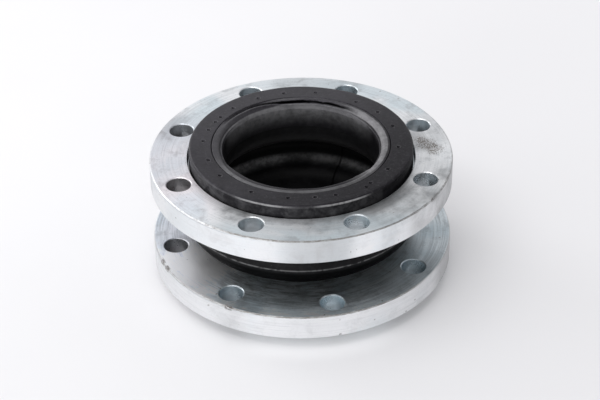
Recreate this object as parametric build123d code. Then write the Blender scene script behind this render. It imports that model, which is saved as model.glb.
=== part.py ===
from build123d import *
import math
import os

# Rubber expansion joint, DN 150 (NPS 6), single sphere, short pattern, with two loose
# drilled flanges. Millimetres, +Z up. Origin: centre of the lower sealing face.
# Half sections are drawn as (radius, height) at the lower end, mirrored for the upper
# end, and turned about Z.

length = 130.0                # sealing face to sealing face
gap = 0.05                    # modelling gap between bonded layers

# ---- loose flanges: ANSI B16.5 class 150, NPS 6 drilling ----
flange_r = 139.7
flange_t = 24.0
flange_bore_r = 85.0          # passes over the rubber neck
flange_stand = 11.75          # how far the bead stands proud of the flange face
recess_r = 105.5              # recess that takes the bead
recess_depth = 8.0
recess_bevel = 0.8            # bevel between recess floor and recess wall
recess_edge_r = 5.0           # rounding from recess floor into the bore
rim_chamfer = 1.0
bore_chamfer = 1.2
bolt_circle = 241.3           # diameter
bolt_count = 8
bolt_hole_r = 11.2
hole_chamfer = 0.8
drill_overrun = 1.0           # drill length beyond each flange face
upper_hole_angle = 22.5       # first hole from +X, degrees
lower_hole_angle = 11.65      # the lower flange stands turned on its neck

# ---- rubber body ----
bore_r = 72.0                 # clear bore
wall = 11.5                   # bore surface to outer surface
arch_centre_r = 89.0          # centre radius of the sphere's wall arcs
cavity_r = 10.0               # inside radius of the sphere's section
neck_bend_r = 17.0            # bore surface radius of the bend from neck to sphere
tube_t = 3.5                  # inner tube
ply_t = 1.0                   # each cord ply
foot_round = 3.0              # fillet between neck and bead back

mid_z = length / 2
low_bend_z = mid_z - cavity_r - neck_bend_r     # centre of the lower neck bend
high_bend_z = length - low_bend_z

# ---- bead ----
bead_r = 103.4
bead_h = flange_stand + recess_depth - gap      # sealing face to bead back
bead_face_edge = 2.5          # rounding at the sealing face
bead_back_edge = 3.0
bead_wall_in_r = 99.05        # inside of the bead's outer wall
face_t = 3.5                  # rubber over the sealing face
lip_r = 81.9                  # end of the inner tube on the sealing face
lip_bevel_r = 1.0             # bevel of the bead rubber next to the lip: radial size
lip_bevel_h = 1.2             # and height
layer_end_r = 98.5            # where plies and core end

# ---- turns of the layers from neck to bead ----
tube_turn = 5.1                                 # radius of the tube's turn, ply side
face_turn = (bore_r + tube_t + tube_turn, face_t + tube_turn)   # centre, sealing face side
back_turn = (bore_r + 10.7, bead_h + 1.55)      # centre, bead back side

# ---- wire core ----
wire_d = 2.0
wire_pitch = 2.05
wire_rows, wire_cols = 4, 4
core_in_r = 88.65             # inside of the wrapped wire bundle
wrap_t = 0.8
wrap_slit = 1.0               # gap where the tape edges meet
filler_tip_drop = 2.25        # filler tip, below the centre of the back turn


# ---- section helpers ----
# A path is a list of points (tuples) and arcs (lists of start, middle and end point).
def on_circle(centre, radius, degrees):
    angle = math.radians(degrees)
    return (centre[0] + radius * math.cos(angle), centre[1] + radius * math.sin(angle))


def arc(centre, radius, start, end):
    """An arc about centre, from start to end degrees."""
    return [on_circle(centre, radius, a) for a in (start, (start + end) / 2, end)]


def is_arc(item):
    return isinstance(item, list)


def turned(path):
    """Close a section with straight lines where needed and turn it about Z."""
    first = path[0][0] if is_arc(path[0]) else path[0]
    edges, last = [], first
    for item in path + [first]:
        points = item if is_arc(item) else [item]
        if math.dist(last, points[0]) > 1e-6:
            edges.append(Line(*((r, 0, z) for r, z in (last, points[0]))))
        if is_arc(item):
            edges.append(ThreePointArc(*((r, 0, z) for r, z in points)))
        last = points[-1]
    return revolve(make_face(edges), axis=Axis.Z)


def as_drawn(path):
    """The path left at the lower end."""
    return path


def flip(path):
    """The path mirrored to the upper end."""
    return [flip(item) if is_arc(item) else (item[0], length - item[1]) for item in path]


def reverse(path):
    return [item[::-1] if is_arc(item) else item for item in reversed(path)]


def ply_depth(n):
    """Depth of ply n's bore side behind the bore surface."""
    return tube_t + gap + (n - 1) * (ply_t + gap)


def turn_radius(centre, depth):
    """Radius about a turn's centre of the surface at this depth in the neck."""
    return centre[0] - bore_r - depth


def sphere_path(depth):
    """Wall line at a depth behind the bore surface, lower neck to upper neck."""
    return [
        arc((arch_centre_r, low_bend_z), neck_bend_r - depth, 180, 90),
        arc((arch_centre_r, mid_z), cavity_r + depth, -90, 90),
        arc((arch_centre_r, high_bend_z), neck_bend_r - depth, -90, -180),
    ]


def wall_layer(end, depth_in, depth_out):
    """A layer between two depths; end is its lower end, from depth_out to depth_in."""
    return turned(end + sphere_path(depth_in) + reverse(flip(end))
                  + reverse(sphere_path(depth_out)))


def save(shape, name):
    shape.label = name
    export_step(shape, f"parts/{name}.step")


# ---- loose flanges ----
def bolt_drill(base_z):
    """Cutter for one bolt hole, flared at 45 degrees at both faces of the flange."""
    flare_r = bolt_hole_r + hole_chamfer + drill_overrun
    top_z = base_z + flange_t
    return turned([
        (0, base_z - drill_overrun), (flare_r, base_z - drill_overrun),
        (bolt_hole_r, base_z + hole_chamfer), (bolt_hole_r, top_z - hole_chamfer),
        (flare_r, top_z + drill_overrun), (0, top_z + drill_overrun),
    ])


def flange(place, base_z, first_hole):
    """A drilled plate, recessed in its outer face; base_z is its lowest height."""
    outer_z = flange_stand
    inner_z = outer_z + flange_t
    floor_z = outer_z + recess_depth
    body = turned(place([
        (recess_r, outer_z),
        (flange_r - rim_chamfer, outer_z), (flange_r, outer_z + rim_chamfer),
        (flange_r, inner_z - rim_chamfer), (flange_r - rim_chamfer, inner_z),
        (flange_bore_r + bore_chamfer, inner_z), (flange_bore_r, inner_z - bore_chamfer),
        arc((flange_bore_r + recess_edge_r, floor_z + recess_edge_r), recess_edge_r, 180, 270),
        (recess_r - recess_bevel, floor_z), (recess_r, floor_z - recess_bevel),
    ]))
    drill = bolt_drill(base_z)
    for k in range(bolt_count):
        x, y = on_circle((0, 0), bolt_circle / 2, first_hole + 360 / bolt_count * k)
        body -= Pos(x, y, 0) * drill
    return body


# ---- rubber body ----
def inner_tube():
    """Bore and sphere lining, with a rounded lip on each sealing face."""
    end = [
        arc(face_turn, tube_turn, 180, 270),
        (lip_r, face_t), (lip_r, 0),
        arc(face_turn, tube_turn + tube_t, 270, 180),
    ]
    return wall_layer(end, 0, tube_t)


def cord_ply(n, centre):
    """Ply n, turned outward about centre into each bead."""
    depth_in = ply_depth(n)
    depth_out = depth_in + ply_t
    radius_in = turn_radius(centre, depth_in)
    radius_out = turn_radius(centre, depth_out)
    end = [
        arc(centre, radius_out, 180, 270),
        (layer_end_r, centre[1] - radius_out), (layer_end_r, centre[1] - radius_in),
        arc(centre, radius_in, 270, 180),
    ]
    return wall_layer(end, depth_in, depth_out)


def outer_cover():
    """Outer skin of sphere and necks, with a foot behind each bead."""
    depth_in = ply_depth(5)     # just outside ply 4
    radius_in = turn_radius(back_turn, depth_in)
    foot_r = bead_wall_in_r - gap
    end = [
        arc((bore_r + wall + foot_round, bead_h + foot_round), foot_round, 180, 270),
        (foot_r, bead_h), (foot_r, back_turn[1] - radius_in),
        arc(back_turn, radius_in, 270, 180),
    ]
    return wall_layer(end, depth_in, wall)


# ---- beads: filler and wire core lie between plies 2 and 3 ----
core_depth = ply_depth(3)
core_face_radius = turn_radius(face_turn, core_depth)
core_back_radius = turn_radius(back_turn, core_depth) + gap
core_lo = face_turn[1] - core_face_radius
core_hi = back_turn[1] - core_back_radius
core_mid_r = (core_in_r + layer_end_r) / 2
core_mid_z = (core_lo + core_hi) / 2


def bead_rubber(place):
    """Sealing face and outer wall of the bead."""
    return turned(place([
        (lip_r + lip_bevel_r, 0),
        arc((bead_r - bead_face_edge, bead_face_edge), bead_face_edge, -90, 0),
        arc((bead_r - bead_back_edge, bead_h - bead_back_edge), bead_back_edge, 0, 90),
        (bead_wall_in_r, bead_h), (bead_wall_in_r, face_t),
        (lip_r + gap, face_t), (lip_r + gap, lip_bevel_h),
    ]))


def bead_filler(place):
    """Wedge between the neck plies and the wire core."""
    tip_angle = math.degrees(math.asin(filler_tip_drop / core_back_radius))
    return turned(place([
        (bore_r + core_depth, back_turn[1] - filler_tip_drop),
        arc(back_turn, core_back_radius, 180 + tip_angle, 270),
        (core_in_r - gap, core_hi), (core_in_r - gap, core_lo),
        arc(face_turn, core_face_radius, 270, 180),
    ]))


def wire_wrap(place):
    """Tape round the wires, C shaped with its slit towards the neck."""
    inside_r = core_in_r + wrap_t
    outside_r = layer_end_r - wrap_t
    slit_hi = core_mid_z + wrap_slit / 2
    slit_lo = core_mid_z - wrap_slit / 2
    return turned(place([
        (core_in_r, core_lo), (layer_end_r, core_lo),
        (layer_end_r, core_hi), (core_in_r, core_hi),
        (core_in_r, slit_hi), (inside_r, slit_hi),
        (inside_r, core_hi - wrap_t), (outside_r, core_hi - wrap_t),
        (outside_r, core_lo + wrap_t), (inside_r, core_lo + wrap_t),
        (inside_r, slit_lo), (core_in_r, slit_lo),
    ]))


def bead_wires(place):
    """The wire bundle, each turn of wire as its own hoop."""
    centres = place([
        (core_mid_r + (i - (wire_cols - 1) / 2) * wire_pitch,
         core_mid_z + (j - (wire_rows - 1) / 2) * wire_pitch)
        for i in range(wire_cols) for j in range(wire_rows)
    ])
    return Compound(children=[Pos(0, 0, z) * Torus(r, wire_d / 2) for r, z in centres])


# ---- build and export ----
os.makedirs("parts", exist_ok=True)

save(flange(flip, length - flange_stand - flange_t, upper_hole_angle), "upper_flange")
save(flange(as_drawn, flange_stand, lower_hole_angle), "lower_flange")

save(inner_tube(), "inner_tube")
# plies 1 and 2 pass the core on the sealing face side, 3 and 4 on the back side
for n, centre in ((1, face_turn), (2, face_turn), (3, back_turn), (4, back_turn)):
    save(cord_ply(n, centre), f"cord_ply_{n}")
save(outer_cover(), "outer_cover")

for end_name, place in (("lower", as_drawn), ("upper", flip)):
    save(bead_rubber(place), f"{end_name}_bead_rubber")
    save(bead_filler(place), f"{end_name}_bead_filler")
    save(wire_wrap(place), f"{end_name}_bead_wire_wrap")
    save(bead_wires(place), f"{end_name}_bead_wires")
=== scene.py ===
"""A rubber expansion joint: a moulded bellows with one arch between two zinc-plated flanges.

Its axis is z, with the lower sealing face at z = 0 and the upper one at z = LENGTH. The
camera stands on the -y side, so front is -y and right is +x. Sections and noise are in
millimetres; meshes, materials and the scene are in metres. Angles run from +x towards +y.
"""
import math
from functools import reduce

import bpy
import numpy as np
from mathutils import Matrix, Vector


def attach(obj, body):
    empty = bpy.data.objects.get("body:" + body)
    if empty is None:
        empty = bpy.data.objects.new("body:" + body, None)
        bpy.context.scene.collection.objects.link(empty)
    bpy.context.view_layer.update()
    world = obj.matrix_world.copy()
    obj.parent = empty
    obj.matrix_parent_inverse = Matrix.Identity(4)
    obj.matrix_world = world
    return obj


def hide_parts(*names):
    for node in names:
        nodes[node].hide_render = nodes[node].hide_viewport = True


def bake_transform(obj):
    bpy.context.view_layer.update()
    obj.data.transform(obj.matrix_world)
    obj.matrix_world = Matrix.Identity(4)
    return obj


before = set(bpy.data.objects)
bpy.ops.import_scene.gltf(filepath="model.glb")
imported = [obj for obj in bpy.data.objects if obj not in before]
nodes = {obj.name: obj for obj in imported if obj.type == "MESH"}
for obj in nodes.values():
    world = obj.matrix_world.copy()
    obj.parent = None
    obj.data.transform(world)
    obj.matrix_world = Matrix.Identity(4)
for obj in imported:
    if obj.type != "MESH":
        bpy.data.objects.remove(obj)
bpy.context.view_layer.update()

# ---- sizes, millimetres; a point of a section is (radius, height) ----------------
MM = 0.001                     # metres in a millimetre
LENGTH = 130.0
MID = LENGTH / 2
BORE, NECK = 72.0, 83.5        # radii of the bore and of the neck's outside

NECK_BEND, NECK_BEND_R = (89.0, 38.0), 5.5       # outer side, neck to arch
ARCH, ARCH_R = (89.0, MID), 21.5                 # outer side of the arch
BORE_BEND, BORE_BEND_R = (90.5, 33.0), 18.5      # bore side, bore to arch
CAVITY, CAVITY_R = (85.04, MID), 13.96           # bore side of the arch

BEAD_R, BEAD_H = 103.4, 19.7
BEAD_BACK_R, BEAD_EDGE_R = 3.0, 2.5              # roundings at the flange and at the face
LIP, LIP_R = (80.6, 8.6), 8.6                    # rounding from the sealing face to the bore

# heights where the wall is cut into pieces, and the same mirrored
END_TOP, NECK_TOP, FLANK_TOP = 26.0, 42.0, 49.0

FLANGE_MID, FLANGE_HALF = 23.75, 12.0            # middle height and half thickness, lower one

# small vents on the sealing face: angle, radius
VENTS = [(115.4, 90.6), (98.9, 90.9), (79.7, 91.3), (52.7, 89.4), (35.1, 90.0), (17.0, 90.2),
         (-6.4, 89.6), (-31.0, 90.1), (-48.4, 91.2), (-52.7, 93.4), (-71.5, 90.9),
         (-83.3, 89.6), (-98.5, 90.3), (-120.3, 90.8), (-145.4, 89.6), (-163.5, 88.2),
         (175.2, 90.2), (162.6, 89.2), (152.8, 88.6), (146.4, 89.0), (134.0, 90.1)]
SPLICE = 65.0                  # angle of the liner's splice

# material slots of the end pieces and of the wall pieces
BEAD, COVER = 0, 1
OUTER, INNER = 0, 1


# ---- noise and fades on arrays -----------------------------------------------------
def lattice_value(i, j, k, seed):
    """A repeatable value, -1 to 1, for each lattice corner."""
    mixed = (i * 73856093) ^ (j * 19349663) ^ (k * 83492791) ^ (seed * 265443576)
    mixed = mixed & 0xFFFFFFFF
    mixed = ((mixed ^ (mixed >> 13)) * 1274126177) & 0xFFFFFFFF
    mixed = ((mixed ^ (mixed >> 16)) * 2246822519) & 0xFFFFFFFF
    return ((mixed >> 8) & 0xFFFF) / 32767.5 - 1.0


def value_noise(points, size, seed):
    """Smooth value noise, -1 to 1, of points (..., 3) in millimetres."""
    scaled_points = points / size + 1000.0
    cell = np.floor(scaled_points).astype(np.int64)
    part = scaled_points - cell
    part = part * part * (3 - 2 * part)
    total = 0
    for i in (0, 1):
        for j in (0, 1):
            for k in (0, 1):
                weight = ((part[..., 0] if i else 1 - part[..., 0])
                          * (part[..., 1] if j else 1 - part[..., 1])
                          * (part[..., 2] if k else 1 - part[..., 2]))
                total = total + weight * lattice_value(
                    cell[..., 0] + i, cell[..., 1] + j, cell[..., 2] + k, seed)
    return total


def layered_noise(points, size, seed, octaves=3):
    total, weight, weights = 0, 1.0, 0.0
    for octave in range(octaves):
        total = total + weight * value_noise(points, size / 2 ** octave, seed + 17 * octave)
        weights += weight
        weight *= 0.5
    return total / weights


def smooth_step(start, end, value):
    part = np.clip((value - start) / (end - start), 0, 1)
    return part * part * (3 - 2 * part)


def degrees_from(angles, centre):
    """Signed degrees from centre (degrees) to angles (radians)."""
    return (np.degrees(angles) - centre + 180) % 360 - 180


def near_angle(angles, centre, half, soft):
    """1 within half degrees of centre, fading to 0 over soft more degrees."""
    return 1 - smooth_step(half, half + soft, np.abs(degrees_from(angles, centre)))


def bell(offset, width):
    return np.exp(-(offset / width) ** 2)


# ---- turned sections ---------------------------------------------------------------
def fine_angles():
    """Angles in radians: coarse in front, finer behind, finest at the vents and the splice."""
    groups = [np.arange(160, 400, 1.5), np.arange(40, 160, 0.5)]
    for vent_angle, _ in VENTS:
        groups.append(vent_angle % 360 + np.arange(-6, 7) * 0.21)
    groups.append(SPLICE + np.arange(-6, 7) * 0.16)
    angles = np.sort(np.concatenate(groups) % 360)
    # where two angles are close, keep one
    closest = 0.1
    kept = [angles[0]]
    for angle in angles[1:]:
        if angle - kept[-1] > closest:
            kept.append(angle)
    if kept[0] + 360 - kept[-1] < closest:
        kept.pop()
    return np.radians(np.array(kept))


FINE_ANGLES = fine_angles()
CORE_ANGLES = np.radians(np.arange(0, 360, 2.0))
WIRE_ANGLES = np.radians(np.arange(0, 360, 2.5))


def span(start, end, steps):
    return np.linspace(start, end, steps + 1)


class Section:
    """A closed half section, turned about z. A row is radius, height and outward direction."""

    def __init__(self):
        self.rows = []
        self.tags = []
        self.materials = []      # of the strip of faces that starts at each row
        self.hard = set()        # rows that are sharp corners

    def add(self, point, outward=(0.0, 0.0), tag="", material=0):
        """Add a point, unless it repeats the one before."""
        if self.rows:
            last = self.rows[-1]
            if abs(last[0] - point[0]) + abs(last[1] - point[1]) < 1e-7:
                return
        self.rows.append((*point, *outward))
        self.tags.append(tag)
        self.materials.append(material)

    def line(self, start, end, outward, steps, tag, material):
        for t in span(0, 1, steps):
            point = (start[0] + (end[0] - start[0]) * t, start[1] + (end[1] - start[1]) * t)
            self.add(point, outward, tag, material)

    def arc(self, centre, radius, angles, tag="", material=0, side=1):
        """side 1: the outward direction leaves the centre; -1: it points at the centre."""
        for angle in angles:
            x = math.cos(math.radians(angle))
            y = math.sin(math.radians(angle))
            point = (centre[0] + radius * x, centre[1] + radius * y)
            self.add(point, (side * x, side * y), tag, material)

    def harden_last(self):
        self.hard.add(len(self.rows) - 1)

    def close(self):
        """Drop a last point that repeats the first."""
        first, last = self.rows[0], self.rows[-1]
        if abs(first[0] - last[0]) + abs(first[1] - last[1]) < 1e-6:
            self.rows.pop()
            self.tags.pop()
            self.materials.pop()
        self.hard = {row % len(self.rows) for row in self.hard}


def ring_points(radius, height, angle):
    return np.stack([radius * np.cos(angle), radius * np.sin(angle), height], -1)


def turned_part(section, angles, shape=None, flip=False, inside=False):
    """A part for build_mesh: the section turned, and pushed outwards by shape.

    flip mirrors it to the upper end. inside faces it inwards, as the wall of a hollow.
    """
    section.close()
    rows = np.array(section.rows)
    if flip:
        rows[:, 1] = LENGTH - rows[:, 1]
        rows[:, 3] = -rows[:, 3]
    radius, height, out_radius, out_height = (
        rows[:, k][:, None] + 0 * angles[None, :] for k in range(4))
    angle = angles[None, :] + 0 * radius
    points = ring_points(radius, height, angle)
    if shape is not None:
        depth = LENGTH - height if flip else height
        push = shape(points, radius, depth, angle, np.array(section.tags)[:, None])
        points = ring_points(radius + out_radius * push, height + out_height * push, angle)
    return points, section.materials, sorted(section.hard), inside


def link_object(name, data):
    obj = bpy.data.objects.new(name, data)
    bpy.context.scene.collection.objects.link(obj)
    return obj


def mark_sharp(mesh, hard_rings):
    """Sharpen steep edges and the whole rings (first, end vertex) that are hard corners."""
    mesh.set_sharp_from_angle(angle=math.radians(62))
    sharp = (mesh.attributes.get("sharp_edge")
             or mesh.attributes.new("sharp_edge", "BOOLEAN", "EDGE"))
    flags = np.zeros(len(mesh.edges), bool)
    sharp.data.foreach_get("value", flags)
    ends = np.zeros(len(mesh.edges) * 2, np.int32)
    mesh.edges.foreach_get("vertices", ends)
    ends = ends.reshape(-1, 2)
    for first, end in hard_rings:
        flags |= ((ends >= first) & (ends < end)).all(1)
    sharp.data.foreach_set("value", flags)


def build_mesh(name, parts, materials):
    """One object of several closed turned parts, with its rest position as an attribute."""
    verts, faces, face_materials, hard_rings = [], [], [], []
    base = 0
    for points, row_materials, hard_rows, inside in parts:
        rows, columns = points.shape[:2]
        i = np.arange(rows)[:, None]
        j = np.arange(columns)[None, :]
        next_i = (i + 1) % rows
        next_j = (j + 1) % columns
        quads = np.stack([i * columns + j, i * columns + next_j,
                          next_i * columns + next_j, next_i * columns + j], -1).reshape(-1, 4)
        flat = points.reshape(-1, 3)
        corners = [flat[quads[:, k]] for k in range(4)]
        # the sign of the enclosed volume tells which way the faces look
        volume = sum(np.einsum("ij,ij->i", corners[0], np.cross(corners[k], corners[k + 1])).sum()
                     for k in (1, 2))
        if (volume < 0) != inside:
            quads = quads[:, ::-1]
        verts.append(flat * MM)
        faces.append(quads + base)
        face_materials.append(np.repeat(np.array(row_materials), columns))
        hard_rings += [(base + row * columns, base + (row + 1) * columns) for row in hard_rows]
        base += rows * columns
    verts = np.concatenate(verts).astype(np.float32).ravel()
    faces = np.concatenate(faces)
    mesh = bpy.data.meshes.new(name)
    mesh.vertices.add(base)
    mesh.vertices.foreach_set("co", verts)
    mesh.loops.add(faces.size)
    mesh.loops.foreach_set("vertex_index", faces.astype(np.int32).ravel())
    mesh.polygons.add(len(faces))
    mesh.polygons.foreach_set("loop_start", np.arange(0, faces.size, 4, dtype=np.int32))
    mesh.polygons.foreach_set("material_index", np.concatenate(face_materials).astype(np.int32))
    mesh.update(calc_edges=True)
    mesh.validate()
    mesh.shade_smooth()
    mark_sharp(mesh, hard_rings)
    rest = mesh.attributes.new("rest", "FLOAT_VECTOR", "POINT")
    rest.data.foreach_set("vector", verts)
    for material in materials:
        mesh.materials.append(material)
    return link_object(name, mesh)


# ---- shader arithmetic ---------------------------------------------------------------
def put(tree, socket, value):
    if isinstance(value, Value):
        tree.links.new(value.socket, socket)
    elif isinstance(value, tuple) and len(value) == 3 and socket.type == "RGBA":
        socket.default_value = (*value, 1.0)
    else:
        socket.default_value = value


def new_node(tree, kind, inputs=None, **settings):
    """A shader node. inputs: socket name or index to Value or constant."""
    node = tree.nodes.new("ShaderNode" + kind)
    for key, setting in settings.items():
        setattr(node, key, setting)
    for key, value in (inputs or {}).items():
        put(tree, node.inputs[key], value)
    return node


class Value:
    """A shader output that takes arithmetic; each operation adds one node."""

    def __init__(self, tree, socket):
        self.tree = tree
        self.socket = socket

    def calc(self, operation, *operands):
        node = new_node(self.tree, "Math", dict(enumerate(operands)), operation=operation)
        return Value(self.tree, node.outputs[0])

    def __add__(self, other):
        return self.calc("ADD", self, other)

    def __radd__(self, other):
        return self.calc("ADD", other, self)

    def __sub__(self, other):
        return self.calc("SUBTRACT", self, other)

    def __rsub__(self, other):
        return self.calc("SUBTRACT", other, self)

    def __mul__(self, other):
        return self.calc("MULTIPLY", self, other)

    def __rmul__(self, other):
        return self.calc("MULTIPLY", other, self)

    def __abs__(self):
        return self.calc("ABSOLUTE", self)

    def sqrt(self):
        return self.calc("SQRT", self)

    def sin(self):
        return self.calc("SINE", self)

    def cos(self):
        return self.calc("COSINE", self)

    def atan2(self, other):
        return self.calc("ARCTAN2", self, other)

    def larger(self, other):
        return self.calc("MAXIMUM", self, other)

    def smaller(self, other):
        return self.calc("MINIMUM", self, other)

    def clamped(self):
        """Clamp the result of the math node that made this value."""
        self.socket.node.use_clamp = True
        return self

    def ramp(self, start, end, to=(0.0, 1.0), smooth=True):
        """Go from to[0] to to[1] as the value goes from start to end, flat beyond."""
        node = new_node(self.tree, "MapRange", dict(enumerate((self, start, end, *to))),
                        interpolation_type="SMOOTHSTEP" if smooth else "LINEAR", clamp=True)
        return Value(self.tree, node.outputs[0])

    def fall(self, start, end):
        return self.ramp(start, end, to=(1.0, 0.0))

    def shift(self, offset):
        node = new_node(self.tree, "VectorMath", {0: self, 1: offset}, operation="ADD")
        return Value(self.tree, node.outputs[0])

    def split(self):
        node = new_node(self.tree, "SeparateXYZ", {0: self})
        return [Value(self.tree, socket) for socket in node.outputs]


class Shader:
    """A Principled material under construction, with its coordinates in metres and radians.

    at_rest reads the undeformed place stored in the mesh. offset moves the noise place.
    """

    def __init__(self, name, offset=None, at_rest=False):
        self.material = bpy.data.materials.new(name)
        self.material.use_nodes = True
        self.tree = self.material.node_tree
        self.tree.nodes.clear()
        self.bsdf = new_node(self.tree, "BsdfPrincipled")
        self.colour = None
        output = new_node(self.tree, "OutputMaterial")
        self.tree.links.new(self.bsdf.outputs[0], output.inputs[0])
        if at_rest:
            source = new_node(self.tree, "Attribute",
                              attribute_type="GEOMETRY", attribute_name="rest")
            position = Value(self.tree, source.outputs["Vector"])
        else:
            position = Value(self.tree, new_node(self.tree, "TexCoord").outputs["Object"])
        self.x, self.y, self.z = position.split()
        self.radius = (self.x * self.x + self.y * self.y).sqrt()
        self.theta = self.y.atan2(self.x)
        self.place = position.shift(offset) if offset else position

    def combine(self, x, y, z):
        node = new_node(self.tree, "CombineXYZ", {0: x, 1: y, 2: z})
        return Value(self.tree, node.outputs[0])

    def noise(self, offset=None, *, scale, detail=4.0, rough=0.55, distort=0.0, place=None):
        """Noise at place, which is the shader's own place, moved by offset, unless given."""
        if place is None:
            place = self.place.shift(offset) if offset else self.place
        node = new_node(self.tree, "TexNoise",
                        {"Vector": place, "Scale": scale, "Detail": detail,
                         "Roughness": rough, "Distortion": distort})
        return Value(self.tree, node.outputs[0])

    def streaks(self, along_radius, along_theta, along_z, theta_first=False, **settings):
        """Noise in ring coordinates, with a scale for each of them."""
        scaled_axes = [self.radius * along_radius, self.theta * along_theta]
        if theta_first:
            scaled_axes.reverse()
        place = self.combine(*scaled_axes, self.z * along_z)
        return self.noise(place=place, scale=1.0, **settings)

    def facing(self, degrees):
        """Cosine of the angle from the given direction."""
        return (self.theta - math.radians(degrees)).cos()

    def sector(self, degrees, half, soft):
        """1 within half degrees of a direction, with an edge soft degrees to each side."""
        return self.facing(degrees).ramp(math.cos(math.radians(half + soft)),
                                         math.cos(math.radians(max(half - soft, 0))))

    def spot(self, x, y, radius, soft):
        """1 inside a round spot, fading to 0 over soft; all in millimetres."""
        away_x = self.x - x * MM
        away_y = self.y - y * MM
        distance = (away_x * away_x + away_y * away_y).sqrt()
        return distance.fall(radius * MM, (radius + soft) * MM)

    def mix(self, amount, first, second, blend="MIX"):
        node = new_node(self.tree, "Mix", {0: amount, 6: first, 7: second},
                        data_type="RGBA", blend_type=blend, clamp_factor=True)
        return Value(self.tree, node.outputs[2])

    def coat(self, amount, colour, blend="MIX"):
        """Lay a colour over what is there."""
        self.colour = self.mix(amount, self.colour, colour, blend)

    def tinted(self, colour):
        """The present colour times another one."""
        return self.mix(1.0, self.colour, colour, "MULTIPLY")

    def shade(self, level):
        """Multiply the colour by a grey level."""
        self.coat(1.0, self.combine(level, level, level), "MULTIPLY")

    def bump(self, height, strength, distance, normal=None):
        inputs = {"Strength": strength, "Distance": distance, "Height": height}
        if normal is not None:
            inputs["Normal"] = normal
        return Value(self.tree, new_node(self.tree, "Bump", inputs).outputs[0])

    def finish(self, rough, normal, metallic=0.0, specular=0.5):
        settings = {"Base Color": self.colour, "Roughness": rough, "Metallic": metallic,
                    "Specular IOR Level": specular, "Normal": normal}
        for key, value in settings.items():
            put(self.tree, self.bsdf.inputs[key], value)
        return self.material


def scaled(colour, factor):
    return tuple(channel * factor for channel in colour)


# ---- zinc plated steel ----------------------------------------------------------------
ZINC_PALE = (0.895, 0.903, 0.918)
ZINC_MID = (0.700, 0.720, 0.740)
ZINC_BLUE = (0.575, 0.660, 0.705)
ZINC_DULL = (0.36, 0.375, 0.39)


def apply_painted_light(look, rows, tone):
    """Paint light or shade onto tone by sector. rows: angle, half width, softness, gain and,
    where the gain is kept to a band of radii, its inner and outer radius in millimetres."""
    for degrees, half, soft, gain, *band in rows:
        where = look.sector(degrees, half, soft)
        if band:
            inner, outer = band
            fade = 4             # millimetres to each side of the band's edges
            where = where * (look.radius.ramp((inner - fade) * MM, (inner + fade) * MM)
                             * look.radius.fall((outer - fade) * MM, (outer + fade) * MM))
        tone = tone * (1.0 + where * (gain - 1.0))
    return tone


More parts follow.
